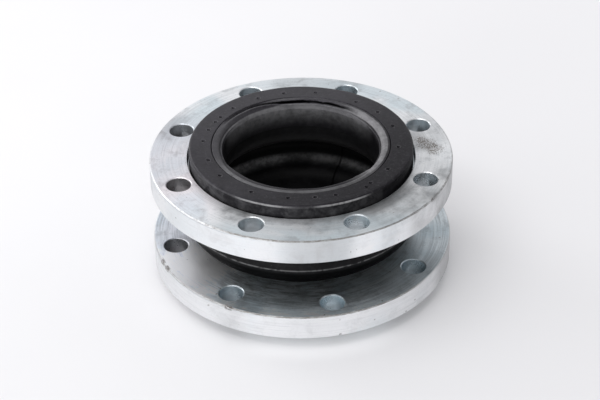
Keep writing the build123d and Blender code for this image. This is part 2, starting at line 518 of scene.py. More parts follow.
def zinc(name, *, middle, seed, mark_depth, grimy, cast, speckles, smudges, chips, scuffs,
         face_painted_light_rows, rim_painted_light_rows, hole_painted_light_rows):
    """Plating of a flange whose mid height is middle, in millimetres.

    speckles, smudges: x, y, radius, softness in mm, amount.
    chips, scuffs: angle, half width in degrees, amount, along the upper rim edge.
    The painted light rows, read by apply_painted_light, paint light and shade on the flat faces,
    the rim and the inner walls.
    """
    look = Shader(name, offset=(seed * 1.7, seed * 0.9, seed * 2.3))
    radius, z = look.radius, look.z
    face_z = (middle + FLANGE_HALF) * MM

    cloud = look.noise(scale=24.0, detail=8.0, rough=0.62, distort=0.25)
    tint = look.noise((3.1, 0, 0), scale=15.0, detail=3.0, rough=0.5, distort=0.4)
    broad = look.noise((0, 5.2, 0), scale=9.0, detail=2.0, rough=0.5, distort=0.2)
    patch = look.noise((7, 5.2, 1), scale=60.0, detail=6.0, rough=0.65, distort=0.3)
    grain = look.noise((1, 1, 1), scale=480.0, rough=0.65)
    fine = look.noise((2, 1, 4), scale=1500.0, detail=2.0, rough=0.6)
    # turning marks: quick across the radius and the height, slow round the axis
    marks = look.streaks(950.0, 2.2 + 0.3 * seed, 950.0, rough=0.65, distort=0.15)
    wide_marks = look.streaks(210.0, 1.5, 300.0, rough=0.6, distort=0.3)
    on_rim = radius.ramp(0.1386, 0.1394)
    on_face = abs(z - middle * MM).ramp(0.0108, 0.0116)
    inside = (1.0 - on_rim) * (1.0 - on_face)      # hole walls, bore, recess wall

    # mottled plating with turning marks
    look.colour = look.mix(cloud.ramp(0.30, 0.70, smooth=False), ZINC_MID, ZINC_PALE)
    look.coat(tint.ramp(0.44, 0.64) * 0.72, ZINC_BLUE)
    look.coat(broad.ramp(0.46, 0.64) * 0.35, ZINC_PALE)
    look.coat(patch.ramp(0.50, 0.68) * 0.50, ZINC_DULL)
    look.coat(grain.ramp(0.52, 0.72) * 0.30, ZINC_DULL)
    look.coat(marks.ramp(0.50, 0.72) * mark_depth, ZINC_DULL)
    look.coat(wide_marks.ramp(0.5, 0.68) * (0.12 + 0.55 * mark_depth), (0.80, 0.815, 0.825))
    lines = look.streaks(560.0, 1.3, 300.0, detail=2.0, rough=0.5)
    lined = lines.fall(0.36, 0.58) * (1.0 - on_rim * 0.65)
    lined = lined * cloud.ramp(0.38, 0.62, to=(0.16, 0.54))
    look.coat(lined * mark_depth, (0.31, 0.335, 0.355))
    if grimy:
        # grime in the turned grooves in front, thicker near the neck
        grime = look.streaks(240.0, 5.5, 200.0, detail=5.0, rough=0.72, distort=0.5)
        grime = grime.ramp(0.42, 0.62) * look.sector(-95, half=38, soft=14)
        grime = grime * radius.ramp(0.108, 0.137, to=(1.0, 0.35))
        look.coat(grime * (1.0 - on_rim) * 0.62, (0.17, 0.175, 0.175))
    look.coat(on_rim * 0.60, (0.80, 0.805, 0.815))
    look.coat(inside * 0.75, (0.43, 0.485, 0.515))

    # painted light and shade: the faces duller to the right, the rim brightest in front
    def painted_light_lobe(degrees, start, to):
        return look.facing(degrees).ramp(start, 0.95, to=to)

    face_painted_light = painted_light_lobe(165, -0.5, to=(0.90, 1.06)) * painted_light_lobe(-75, 0.2, to=(1.0, 0.94))
    rim_painted_light = (painted_light_lobe(-4, 0.86, to=(1.0, 0.66)) * painted_light_lobe(-112, 0.50, to=(0.98, 1.08))
                * painted_light_lobe(-175, 0.70, to=(1.0, 0.87)))
    face_painted_light = apply_painted_light(look, face_painted_light_rows, face_painted_light)
    rim_painted_light = apply_painted_light(look, rim_painted_light_rows, rim_painted_light)
    # painted shade: the hole walls darker deeper down
    depth = abs(z - face_z)
    hole_painted_light = apply_painted_light(look, hole_painted_light_rows, depth.ramp(0.004, 0.014, to=(1.28, 0.62)))
    off_rim = 1.0 - on_rim
    tone = face_painted_light * (off_rim - inside * off_rim) + rim_painted_light * on_rim
    tone = tone + hole_painted_light * (inside * off_rim)
    look.shade(tone)
    look.coat(off_rim, look.tinted(cast))
    look.coat(off_rim * look.sector(-172, half=34, soft=16), look.tinted((1.050, 0.985, 1.0)))
    look.coat(inside * look.sector(-163, half=16, soft=6) * 0.50, (0.22, 0.195, 0.18))
    look.coat(inside * look.sector(158, half=14, soft=6) * 0.30, (0.33, 0.305, 0.29))
    look.coat(1.0, (0.955, 0.960, 0.970), "DARKEN")
    # small dark pin spots
    pins = look.noise((0, 3, 9), scale=260.0, detail=1.0, rough=0.4)
    look.coat(pins.ramp(0.755, 0.80) * 0.6, (0.20, 0.18, 0.165))

    below_face = abs(z - face_z)
    near_edge = radius.ramp(0.1376, 0.1386) * below_face.fall(0.0010, 0.0019)
    dashes = look.streaks(900.0, 26.0, 1400.0, theta_first=True, detail=6.0, rough=0.75)

    # the chamfer in front has lost its shine
    chamfer = radius.ramp(0.1383, 0.1388) * below_face.fall(0.0008, 0.0013)
    worn = chamfer * look.facing(-84).ramp(0.62, 0.86)
    look.coat(worn * dashes.ramp(0.36, 0.56, to=(0.45, 0.95)), (0.27, 0.26, 0.25))

    # to the front left the chamfer gets a painted highlight, or is dull where grimy, with a dull
    # line under it
    amount, colour = (0.80, (0.36, 0.36, 0.37)) if grimy else (0.34, (0.965, 0.970, 0.985))
    look.coat(chamfer * look.sector(-150, half=24, soft=10) * amount, colour)
    under = on_rim * below_face.ramp(0.0012, 0.0016) * below_face.fall(0.0020, 0.0030)
    under = under * look.sector(-140, half=30, soft=12)
    look.coat(under * dashes.ramp(0.36, 0.60, to=(0.15, 0.50)), (0.40, 0.43, 0.47))

    dark_marks = []
    for degrees, half, amount in scuffs:
        scuff = look.sector(degrees, half, half * 0.5) * near_edge
        scuff = scuff * (dashes.ramp(0.46, 0.60) * amount)
        look.coat(scuff, (0.15, 0.135, 0.12))
        dark_marks.append(scuff)
    for degrees, half, amount in chips:
        wide_edge = radius.ramp(0.1360, 0.1380) * below_face.fall(0.0020, 0.0042)
        chip = look.sector(degrees, half, half * 0.5) * wide_edge
        chip = chip * (dashes.ramp(0.40, 0.52) * amount)
        look.coat(chip, (0.06, 0.045, 0.035))
        dark_marks.append(chip)
    for *spot, amount in smudges:
        smudge = look.spot(*spot) * patch.ramp(0.34, 0.60, to=(0.25, 1.0)) * amount
        look.coat(smudge, (0.16, 0.165, 0.17))
    for *spot, amount in speckles:
        area = look.spot(*spot)
        bits = look.noise((0, spot[0], 0), scale=780.0, detail=3.0, rough=0.62)
        speckle = area * (bits + area * 0.20).ramp(0.63, 0.77) * amount
        look.coat(speckle, (0.10, 0.08, 0.065))
        dark_marks.append(speckle)
    dark = reduce(Value.larger, dark_marks)

    rough = cloud.ramp(0.3, 0.7, to=(0.47, 0.36)) + (grain - 0.5) * 0.25
    rough = rough - inside * 0.10
    rough = (rough + dark.larger(worn * 0.7) * 0.3).clamped()
    relief = marks * 0.8 + grain * 0.5 + fine * 0.25 - dark * 0.9
    relief = relief * (1.0 - inside * 0.75)
    normal = look.bump(relief, strength=0.30, distance=0.00022)
    normal = look.bump(cloud + wide_marks, strength=0.12, distance=0.0006, normal=normal)
    return look.finish(rough, normal, metallic=(1.0 - dark * 0.7) * 0.86)


# ---- rubber ---------------------------------------------------------------------------
def start_rubber(name, base, seed, spread, scales, streak_scales, streak_distort=0.0):
    """Blotched black rubber and its noises. scales: of blotch, small and grain."""
    look = Shader(name, offset=(seed, seed * 0.7, seed * 1.3), at_rest=True)
    blotch = look.noise(scale=scales[0], detail=5.0, rough=0.62,
                        distort=0.6 if streak_distort else 0.5)
    small = look.noise((4, 0, 0), scale=scales[1], rough=0.65)
    grain = look.noise((0, 4, 0), scale=scales[2], detail=3.0, rough=0.65)
    streak = look.streaks(*streak_scales, rough=0.65, distort=streak_distort)
    look.colour = look.mix(blotch.ramp(0.35, 0.7), scaled(base, 1 - spread),
                           scaled(base, 1 + spread))
    return look, blotch, small, grain, streak


def talc_and_light_at_back(look, start, end):
    """Where mould talc stays in the bore, with painted light on it: at the back, stronger to the
    left.
    """
    return look.facing(93).ramp(start, end) * look.theta.ramp(0.75, 1.85, to=(0.60, 1.22))


def wall_rubber(name, base, grey, inside, seed):
    """Moulded black rubber of the wall. inside adds the grey mould talc of the bore, with painted
    light on it.
    """
    look, blotch, small, grain, streak = start_rubber(
        name, base, seed, spread=0.25, scales=(48.0, 210.0, 1100.0),
        streak_scales=(420.0, 3.0, 420.0))
    z, theta = look.z, look.theta
    look.coat(streak.ramp(0.55, 0.8) * (0.03 if inside else 0.12), grey)
    rough = blotch.ramp(0.3, 0.7, to=(0.44 if inside else 0.42, 0.54))
    rough = (rough + (small - 0.5) * 0.22).clamped()
    dust_and_light = (small + blotch * 0.6).ramp(0.72, 1.02) * (0.02 if inside else 0.14)
    if inside:
        # mould talc and painted light high on the bore's back wall
        talc_and_light = z.ramp(0.1030, 0.1260) * z.fall(0.1245, 0.1275) * talc_and_light_at_back(look, 0.30, 0.66)
        mottle = (small * 0.8 + blotch * 0.7).ramp(0.56, 0.94, to=(0.40, 1.12))
        dust_and_light = dust_and_light.larger(talc_and_light * mottle * 0.9)
        look.coat(dust_and_light, grey)
        # a trace of talc and a painted highlight lie on the lower bend too
        facing = look.facing(91)
        bend_talc_and_highlight = z.ramp(0.0505, 0.0548) * z.fall(0.0552, 0.0592) * facing.ramp(0.30, 0.72)
        bend_talc_and_highlight = bend_talc_and_highlight * facing.ramp(0.975, 0.998, to=(1.0, 0.35)) * mottle
        look.coat(bend_talc_and_highlight * theta.ramp(1.25, 1.75, to=(0.55, 1.20)), (0.20, 0.20, 0.205))
        # the splice is a dark seam, and the low bore shines less
        seam = abs((theta - math.radians(SPLICE)).sin()).fall(0.002, 0.020)
        seam = seam * theta.ramp(0.5, 0.6) * z.ramp(0.066, 0.084, to=(0.55, 0.06))
        look.coat(seam, (0.0005, 0.0005, 0.0005))
        shine = (1.0 - z.fall(0.0500, 0.0560) * 0.62) * (0.16 - seam * 0.13)
    else:
        look.coat(dust_and_light, grey)
        # painted shade under the arch's crown, with a pale parting line at its crown
        under = z.fall(0.0600, 0.0646)
        look.coat(under * 0.9, (0.0012, 0.0012, 0.0013))
        line = abs(z - 0.0652).fall(0.0003, 0.0010)
        line = line * (small + blotch * 0.5).ramp(0.62, 0.85, to=(0.1, 1.0))
        look.coat(line * 0.65, (0.17, 0.17, 0.172))
        shine = 0.12 * (1.0 - under * 0.80)
    # scattered pale specks
    specks = look.noise((0, 0, 9), scale=620.0, detail=2.0, rough=0.5)
    look.coat(specks.ramp(0.70, 0.78) * (0.04 if inside else 0.3), (0.16, 0.16, 0.165))
    rough = (rough + dust_and_light * 0.25).clamped()
    relief = grain * 0.5 + small * 0.7 + streak * 0.35
    normal = look.bump(relief, strength=0.25, distance=0.00025)
    return look.finish(rough, normal, specular=shine)


def bead_rubber(name, base, grey, seed):
    """The bead: sealing face, lip and wall. Rubbed pale on the wall and the lip, with painted
    highlights on the lip and the outer edge and painted light on the bore's back wall.
    """
    look, blotch, small, grain, streak = start_rubber(
        name, base, seed, spread=0.2, scales=(60.0, 230.0, 1300.0),
        streak_scales=(520.0, 3.6, 520.0), streak_distort=0.1)
    radius, theta, sector = look.radius, look.theta, look.sector
    depth = look.z.smaller(LENGTH * MM - look.z)          # below the sealing face
    # painted shade: the rubber darker towards the front right
    look.coat(look.facing(-25).ramp(-0.3, 0.95) * 0.55, scaled(base, 0.35))

    # the lip, by angle round its rounding: 0 at the sealing face, 90 degrees in the bore
    on_lip = radius.fall(0.0817, 0.0822) * depth.fall(0.0070, 0.0110)
    lip_angle = (LIP[0] * MM - radius).atan2(LIP[1] * MM - depth)
    lip_angle = lip_angle + (small - 0.5) * 0.16

    def belt(start, end, soft):
        """A belt of the lip between two angles in degrees."""
        return (lip_angle.ramp(math.radians(start - soft), math.radians(start + soft))
                * lip_angle.fall(math.radians(end - soft), math.radians(end + soft)))

    # dust and painted highlight on the lip: in front, to the right, to the left and at the back
    # left
    lip_dust_and_highlight = sector(-95, half=62, soft=14) * belt(-20, 15, soft=3) * 0.62
    lip_dust_and_highlight = lip_dust_and_highlight + sector(4, half=50, soft=16) * belt(5, 51, soft=4)
    left_belts = belt(50, 64, soft=3) * 0.34 + belt(-10, 50, soft=6) * 0.10
    lip_dust_and_highlight = lip_dust_and_highlight + sector(190, half=50, soft=16) * left_belts
    lip_dust_and_highlight = lip_dust_and_highlight + sector(118, half=26, soft=8) * belt(0, 22, soft=4) * 0.30
    lip_dust_and_highlight = (lip_dust_and_highlight + 0.045).clamped()
    lip_dust_and_highlight = lip_dust_and_highlight * (small * 0.7 + blotch * 0.8).ramp(0.50, 1.0, to=(0.55, 1.0))
    lip_dust_and_highlight = on_lip * lip_dust_and_highlight

    # the slit along the back of the lip wanders towards the face on its way to the left
    slit_angle = theta.ramp(math.radians(96), math.radians(124),
                            to=(math.radians(28), math.radians(3)))
    away = abs(lip_angle - slit_angle + (blotch - 0.5) * 0.45)
    slit = sector(100, half=46, soft=12) * away.fall(0.10, 0.24) * on_lip
    slit = slit * theta.ramp(math.radians(100), math.radians(130), to=(1.0, 0.40))

    deep = radius.fall(0.0735, 0.0760) * depth.ramp(0.0050, 0.0120)
    wall = radius.ramp(0.1008, 0.1024) * depth.ramp(0.0005, 0.0025)
    front = look.facing(-98).ramp(0.42, 0.90, to=(0.10, 1.0))
    wall_dust = wall * ((blotch + small * 0.3).ramp(0.50, 0.88, to=(0.10, 1.0)) * 0.34)
    wall_dust = wall_dust * front
    # two smears on the wall: angle, half width, noise level where they start, strengths
    for degrees, half, start, strengths in ((-155, 10, 0.70, (0.05, 0.34)),
                                            (-62, 11, 0.65, (0.04, 0.22))):
        smear = wall * sector(degrees, half, soft=8)
        smear = smear * (small + blotch * 0.8).ramp(start, 1.05, to=strengths)
        wall_dust = wall_dust.larger(smear)
    dust_and_light = lip_dust_and_highlight.larger(wall_dust)

    # painted highlight along the rounded outer edge, in places
    edge_angle = (radius - (BEAD_R - BEAD_EDGE_R) * MM).atan2(BEAD_EDGE_R * MM - depth)
    edge = (edge_angle.ramp(math.radians(34), math.radians(48))
            * edge_angle.fall(math.radians(72), math.radians(88)))
    edge = edge * radius.ramp(0.1018, 0.1024)
    edge_highlight = sector(-111, half=9, soft=8) * 0.72 + sector(-70, half=9, soft=8) * 0.85
    edge_highlight = edge_highlight + sector(-102, half=44, soft=12) * 0.10
    edge_highlight = edge_highlight * (small + blotch * 0.5).ramp(0.5, 0.85, to=(0.5, 1.0))
    edge = (edge * edge_highlight).clamped()

    # the bore's back wall keeps grey mould talc, with painted light on it that fades with depth
    talc_and_light = depth.fall(0.0040, 0.0270) * radius.fall(0.0735, 0.0745)
    talc_and_light = talc_and_light * talc_and_light_at_back(look, 0.25, 0.62)
    talc_and_light = talc_and_light * (small * 0.8 + blotch * 0.7).ramp(0.50, 0.98, to=(0.50, 1.0))
    dust_and_light = dust_and_light.larger(talc_and_light * 0.85)
    dust_and_light = dust_and_light.larger(streak.ramp(0.60, 0.80) * 0.10)

    # painted shade in the hollows of the sealing face, painted highlight on its high places
    on_face = radius.ramp(0.0842, 0.0850) * radius.fall(0.0975, 0.0985)
    look.coat(depth.ramp(0.00020, 0.00080) * on_face * 0.88, (0.0012, 0.0012, 0.0014))
    look.coat(depth.fall(-0.00017, -0.00008) * on_face * 0.42, grey)
    look.coat(deep, (0.0030, 0.0028, 0.0034))
    look.coat(wall * 0.5, (0.0035, 0.0034, 0.0040))
    # dust and painted light in grey, paler where the right of the lip has its painted highlight
    right_lip_highlight = on_lip * sector(0, half=42, soft=16)
    look.coat(dust_and_light, look.mix(right_lip_highlight, grey, (0.215, 0.213, 0.220)))
    # painted highlight on the rounded outer edge
    look.coat(edge, (0.30, 0.30, 0.305))
    freckles = look.noise((0, 6, 2), scale=420.0, detail=3.0, rough=0.7)
    freckles = freckles.ramp(0.50, 0.72) * depth.fall(0.0, 0.0030)
    look.coat(freckles * 0.10, (0.16, 0.155, 0.17))
    specks = look.noise((0, 0, 9), scale=700.0, detail=2.0, rough=0.5)
    look.coat(specks.ramp(0.70, 0.78) * 0.4 * (1.0 - deep), (0.15, 0.15, 0.155))
    # painted shade: the slit near black
    look.coat(slit, (0.0006, 0.0006, 0.0007))

    # less shine deep in the bore, in the slit and on the flanks; more at the back
    shine = 0.34 * (1.0 - deep * 0.35)
    shine = shine * (1.0 - slit * 0.95)
    flank = wall * (1.0 - front * 0.55)
    shine = shine * (1.0 - flank * 0.85)
    dull = wall * sector(-148, half=20, soft=10) * blotch.ramp(0.36, 0.60, to=(0.85, 0.30))
    shine = shine * (1.0 - dull)
    shine = shine * look.facing(-34).ramp(-0.4, 0.9, to=(1.08, 0.58))
    shine = shine * theta.sin().ramp(-0.5, 0.7, to=(0.88, 1.38))
    shine = shine * (small * 0.6 + blotch * 0.4).ramp(0.38, 0.62, to=(0.84, 1.20))
    rough = blotch.ramp(0.3, 0.7, to=(0.38, 0.48))
    rough = (rough + (small - 0.5) * 0.26).clamped()
    rough = (rough + dust_and_light * 0.25).clamped()
    relief = grain * 0.6 + small * 0.6 + streak * 0.3
    normal = look.bump(relief, strength=0.25, distance=0.00022)
    look.bsdf.inputs["Specular Tint"].default_value = (0.925, 0.895, 1.0, 1.0)
    return look.finish(rough, normal, specular=shine)


def core_material(name, first, second, *, scale, rough, metallic, weave):
    """Wire, tape or filler inside the bead; weave is the noise scale round the axis."""
    look = Shader(name)
    cloud = look.noise(scale=scale, rough=0.6)
    fibre = look.streaks(900.0, weave, 900.0, theta_first=True, detail=3.0, rough=0.6)
    look.colour = look.mix(cloud.ramp(0.3, 0.7), first, second)
    look.coat(fibre.ramp(0.5, 0.7) * 0.35, scaled(first, 0.55))
    normal = look.bump(cloud + fibre, strength=0.3, distance=0.0002)
    return look.finish(fibre.ramp(0.3, 0.7, to=rough), normal, metallic=metallic)


M_BEAD = bead_rubber("bead_rubber", base=(0.0105, 0.0098, 0.0122),
                     grey=(0.148, 0.148, 0.152), seed=2.0)
M_COVER = wall_rubber("cover_rubber", base=(0.0040, 0.0040, 0.0046),
                      grey=(0.045, 0.045, 0.047), inside=False, seed=5.0)
M_TUBE = wall_rubber("tube_rubber", base=(0.0042, 0.0041, 0.0047),
                     grey=(0.126, 0.127, 0.130), inside=True, seed=8.0)
M_ZINC_UPPER = zinc(
    "zinc_upper", middle=LENGTH - FLANGE_MID, seed=1.0, mark_depth=0.34, grimy=False,
    cast=(1.0, 1.0, 1.0),
    speckles=[(117, 12, 6, 9, 0.8), (124, 4, 5, 8, 0.75), (112, 20, 3, 7, 0.8),
              (121, -2, 3, 6, 0.5)],
    smudges=[(-62, -91, 7, 14, 0.50), (-47, -95, 6, 10, 0.40), (10, -114, 8, 16, 0.32),
             (34, -112, 6, 14, 0.20), (70, -102, 8, 18, 0.30), (92, -85, 8, 16, 0.35),
             (112, -68, 8, 14, 0.40), (131, -38, 5, 12, 0.38), (114, -71, 2, 6, 0.24),
             (106, -80, 2, 6, 0.20), (118, 12, 7, 10, 0.20), (52, 127, 5, 14, 0.35),
             (-12, 128, 5, 16, 0.25)],
    chips=[(-33.0, 2.0, 0.4)],
    scuffs=[(-134, 9, 0.6), (-112, 12, 0.55), (-90, 12, 0.45), (-33, 14, 0.85),
            (-10, 10, 0.45), (22, 14, 0.45), (78, 8, 0.35)],
    # painted light and shade by sector on the faces, the rim and the hole walls
    face_painted_light_rows=[(-138, 10, 6, 1.18), (50, 18, 10, 1.25), (0, 6, 4, 1.16, 124, 142),
                (-44, 14, 8, 0.54, 100, 118), (-30, 10, 8, 0.93, 124, 142),
                (156, 8, 6, 0.80, 122, 142), (10, 7, 5, 0.72, 100, 118),
                (-98, 24, 10, 1.28, 100, 118), (122, 24, 10, 1.06)],
    rim_painted_light_rows=[(-86, 9, 7, 0.80), (-60, 9, 7, 1.20), (-176, 6, 5, 0.80), (-134, 12, 8, 0.95)],
    hole_painted_light_rows=[(-157.5, 20, 5, 0.74), (-67.5, 16, 6, 1.36), (-112.5, 16, 6, 1.18),
                (22.5, 16, 6, 1.22), (67.5, 16, 6, 1.20), (157.5, 16, 6, 0.92)])
M_ZINC_LOWER = zinc(
    "zinc_lower", middle=FLANGE_MID, seed=2.0, mark_depth=0.80, grimy=True,
    cast=(0.94, 1.0, 1.025),
    speckles=[(-77, -93, 0.8, 1.6, 0.9)],
    smudges=[(-112, -18, 5, 9, 0.45), (-127, -27, 3, 7, 0.32), (-60, -110, 8, 16, 0.25)],
    chips=[(-119.6, 1.3, 1.0), (-159.0, 1.3, 0.9), (-154.5, 1.2, 0.9)],
    scuffs=[(-148, 10, 0.6), (-125, 10, 0.6), (-100, 14, 0.5), (-80, 10, 0.45)],
    # painted light and shade by sector on the faces, the rim and the hole walls
    face_painted_light_rows=[(-148, 16, 9, 1.62), (-94, 34, 10, 1.58, 126, 142),
                (-82, 14, 9, 0.84, 100, 122), (-118, 8, 6, 1.25, 108, 126),
                (-34, 10, 8, 0.72, 126, 142)],
    rim_painted_light_rows=[(-86, 10, 8, 1.0), (-128, 10, 8, 0.92), (-64, 14, 10, 1.10)],
    hole_painted_light_rows=[(-168, 18, 6, 0.80), (-78.4, 16, 6, 1.30)])
M_WIRE = core_material("bead_wire", (0.45, 0.33, 0.16), (0.62, 0.48, 0.26),
                       scale=160.0, rough=(0.28, 0.45), metallic=1.0, weave=40.0)
M_TAPE = core_material("wrap_tape", (0.10, 0.095, 0.085), (0.17, 0.16, 0.14),
                       scale=220.0, rough=(0.7, 0.9), metallic=0.0, weave=400.0)
M_FILLER = core_material("hard_filler_rubber", (0.012, 0.012, 0.012), (0.03, 0.03, 0.03),
                         scale=120.0, rough=(0.55, 0.75), metallic=0.0, weave=20.0)


# ---- unevenness of the rubber, millimetres outwards --------------------------------------
def moulded_waves(points):
    """Waves of the whole wall; only the place sets them, so neighbours meet exactly."""
    return 0.16 * layered_noise(points, 34.0, 11, 2) + 0.05 * layered_noise(points, 7.0, 12, 2)


def splice_groove(angle):
    """A shallow groove up the bore at the liner's splice, with a slight step beside it."""
    along = np.radians(degrees_from(angle, SPLICE)) * BORE
    return -0.55 * bell(along, 0.45) + 0.18 * bell(along - 1.6, 0.9)


def wall_shape(points, _radius, _depth, angle, tags):
    push = moulded_waves(points)
    inner = tags == "cavity"
    height = points[..., 2]
    groove = splice_groove(angle) * (0.15 + 0.85 * (1 - smooth_step(66.0, 84.0, height)))
    push = push + np.where(inner, groove, 0.0)
    # ragged mould parting line round the crown
    ragged = 0.55 + 0.45 * layered_noise(points, 9.0, 31, 3)
    line = 0.42 * bell(height - MID, 0.42) * np.clip(ragged, 0.05, 1.2)
    return push + np.where(inner, 0.0, line)


def lip_relief(points, angle, lip_angle):
    """Unused; returns None and makes no crest, crevice or ridge. lip_angle is not used."""
    slow = layered_noise(points, 13.0, 45 + (points[0, 0, 2] > MID) * 0, 3) if False else None
    return slow


def lip_push(angle, lip_angle, slow, quick):
    """Crest, crevice, ridges and torn flash of the lip, from a slow and a quick noise.

    lip_angle is in degrees, 0 at the sealing face and 90 in the bore.
    """
    back = near_angle(angle, 96, 40, 24)
    left = near_angle(angle, 182, 26, 18)
    right = near_angle(angle, 6, 34, 16)
    front = near_angle(angle, -95, 46, 26)
    elsewhere = 1 - back
    # the slit at the back takes the crevice's place
    slit_at = 28 - 25 * smooth_step(96, 124, np.degrees(angle) % 360) + 4 * slow
    crest = (0.75 + 0.2 * slow) * (
        elsewhere * bell(lip_angle - (27 - 19 * front), 15.0 - 6 * front)
        + back * bell(lip_angle - (slit_at + 20), 8.0))
    crevice = (-(0.85 - 0.65 * left + 0.3 * quick - 0.1 * front) * elsewhere
               * bell(lip_angle - (50 + 2.5 * slow + 9 * right - 23 * front),
                      3.4 + 2.5 * front))
    slit = (-(2.3 + 0.3 * quick + 0.9 * slow) * back
            * bell(lip_angle - slit_at, 8.4 + 1.6 * quick))
    ridge = ((0.40 + 0.2 * quick) * elsewhere * (1 - front)
             * bell(lip_angle - (59.5 + 2.5 * slow + 9 * right), 3.4))
    front_ridge = front * (1.9 + 0.35 * slow + 0.2 * quick) * bell(lip_angle - 50, 11.0)
    ledge = 0.30 * bell(lip_angle - 77, 4.0) * (0.6 + 0.4 * slow)
    # flash torn along the back: a ragged slit that wanders across the crest
    wander = 22 + 16 * np.clip((np.degrees(angle) - 84) / 30, -1, 1) + 5 * slow
    torn = (-1.1 * near_angle(angle, 84, 16, 8) * bell(lip_angle - wander, 3.6)
            * (0.7 + 0.5 * quick))
    torn = torn + back * 0.35 * quick * bell(lip_angle - 16, 12.0)
    return crest + crevice + slit + ridge + front_ridge + ledge + torn


def vent_push(radius, angle):
    """Each vent is a small pit with a nib in it and a faint rim."""
    push = np.zeros_like(radius)
    for vent_angle, vent_radius in VENTS:
        along = np.radians(degrees_from(angle, vent_angle)) * radius
        across = radius - vent_radius
        distance = np.sqrt(along ** 2 + across ** 2)
        push += -1.25 * (1 - smooth_step(0.9, 1.95, distance))
        push += 1.3 * np.exp(-(along ** 2 + (across + 0.1) ** 2) / 0.55 ** 2)
        push += 0.14 * bell(distance - 2.1, 0.45)
    return push


def end_shape(upper):
    seed = 40 if upper else 70

    def shape(points, radius, depth, angle, tags):
        """depth is measured from the sealing face."""
        push = moulded_waves(points)
        groove = splice_groove(angle) * smooth_step(7.0, 12.0, depth) * (0.15 if upper else 1.0)
        push = push + np.where(np.isin(tags, ("bore", "lip")), groove, 0.0)
        # the seat against the flange stays true, and so nearly does the sealing face
        back_start = BEAD_H - BEAD_BACK_R
        push = np.where(np.isin(tags, ("back", "foot")), 0.0, push)
        push = np.where(tags == "back_edge", push * smooth_step(BEAD_H, back_start, depth), push)
        push = np.where(tags == "neck", push * smooth_step(23.5, END_TOP, depth), push)
        face = tags == "face"
        push = np.where(face, 0.05 * layered_noise(points, 18.0, seed, 2), push)
        # bead wall: slow swell, faint flow marks
        swell = 0.28 * layered_noise(points, 46.0, seed + 1, 2)
        flow = 0.10 * layered_noise(points * np.array([1, 1, 3.0]), 9.0, seed + 2, 3)
        fade = smooth_step(back_start, 14.0, depth)
        push = np.where(np.isin(tags, ("wall", "edge")), (swell + flow) * fade, push)
        # a faint line just under the rounded edge
        line = -0.16 * bell(depth - 4.1, 0.55) * (
            0.6 + 0.4 * layered_noise(points, 15, seed + 3, 2))
        push = push + np.where(tags == "wall", line, 0)

        lip = tags == "lip"
        lip_angle = np.degrees(np.arctan2(LIP[0] - radius, LIP[1] - depth))
        slow = layered_noise(points, 13.0, seed + 5, 3)
        quick = layered_noise(points, 4.5, seed + 6, 3)
        push = np.where(lip, push * 0.5 + lip_push(angle, lip_angle, slow, quick), push)
        if not upper:
            # the lower lip is pressed flat by the weight on it
            slope = np.cos(np.radians(lip_angle))
            excess = np.maximum(0.0, push * slope - depth)
            push = np.where(lip & (lip_angle < 60), push - excess / np.maximum(slope, 0.3), push)
            push = np.where(face, np.minimum(push, 0.0), push)
        return np.where(face, push + vent_push(radius, angle), push)

    return shape


# ---- half sections ---------------------------------------------------------------------
# the groove between the sealing face and the lip: radius, height
GROOVE = ((83.08, 0.06), (82.85, 0.35), (82.6, 0.85), (82.35, 1.1),
          (82.15, 1.0), (81.95, 0.55), (81.75, 0.15), (81.5, 0.0))


def end_section():
    """End piece, heights from the sealing face."""
    foot_r = 3.0                                   # rounding where the neck meets the bead
    foot = (NECK + foot_r, BEAD_H + foot_r)
    back_edge = (BEAD_R - BEAD_BACK_R, BEAD_H - BEAD_BACK_R)
    edge = (BEAD_R - BEAD_EDGE_R, BEAD_EDGE_R)
    outer_r, inner_r, groove_r = 95.6, 86.2, 83.3  # fine part of the face, start of groove
    section = Section()
    section.line((NECK, END_TOP), (NECK, foot[1]), (1, 0), 3, "neck", COVER)
    section.hard.add(0)
    section.arc(foot, foot_r, span(180, 270, 6), "foot", COVER, side=-1)
    section.line((foot[0], BEAD_H), (back_edge[0], BEAD_H), (0, 1), 4, "back", COVER)
    section.arc(back_edge, BEAD_BACK_R, span(90, 0, 6), "back_edge", BEAD)
    section.line((BEAD_R, back_edge[1]), (BEAD_R, edge[1]), (1, 0), 22, "wall", BEAD)
    section.arc(edge, BEAD_EDGE_R, span(0, -90, 9), "edge", BEAD)
    section.line((edge[0], 0), (outer_r, 0), (0, -1), 4, "face", BEAD)
    section.line((outer_r, 0), (inner_r, 0), (0, -1), 30, "face", BEAD)
    section.line((inner_r, 0), (groove_r, 0), (0, -1), 3, "face", BEAD)
    for point in GROOVE:
        section.add(point, (0, -1), "groove", BEAD)
    section.arc(LIP, LIP_R, span(270, 180, 45), "lip", BEAD)
    section.line((BORE, LIP[1]), (BORE, END_TOP), (-1, 0), 12, "bore", BEAD)
    section.harden_last()
    section.materials[-1] = COVER
    return section


def core_section():
    """The room inside the bead for filler, tape and wires, heights from the sealing face."""
    lip_r = 2.98
    inner, outer = LIP[0] - lip_r, 98.53
    bottom = LIP[1] - lip_r
    top = 16.18
    hollow, hollow_r, hollow_drop = (82.7, 21.25), 5.07, 2.22
    start = 180 + math.degrees(math.asin(hollow_drop / hollow_r))
    section = Section()
    section.add((inner, LIP[1]))
    section.add((inner, hollow[1] - hollow_drop))
    section.arc(hollow, hollow_r, span(start, 270, 6))
    section.add((outer, top))
    section.add((outer, bottom))
    section.arc(LIP, lip_r, span(270, 180, 6))
    return section


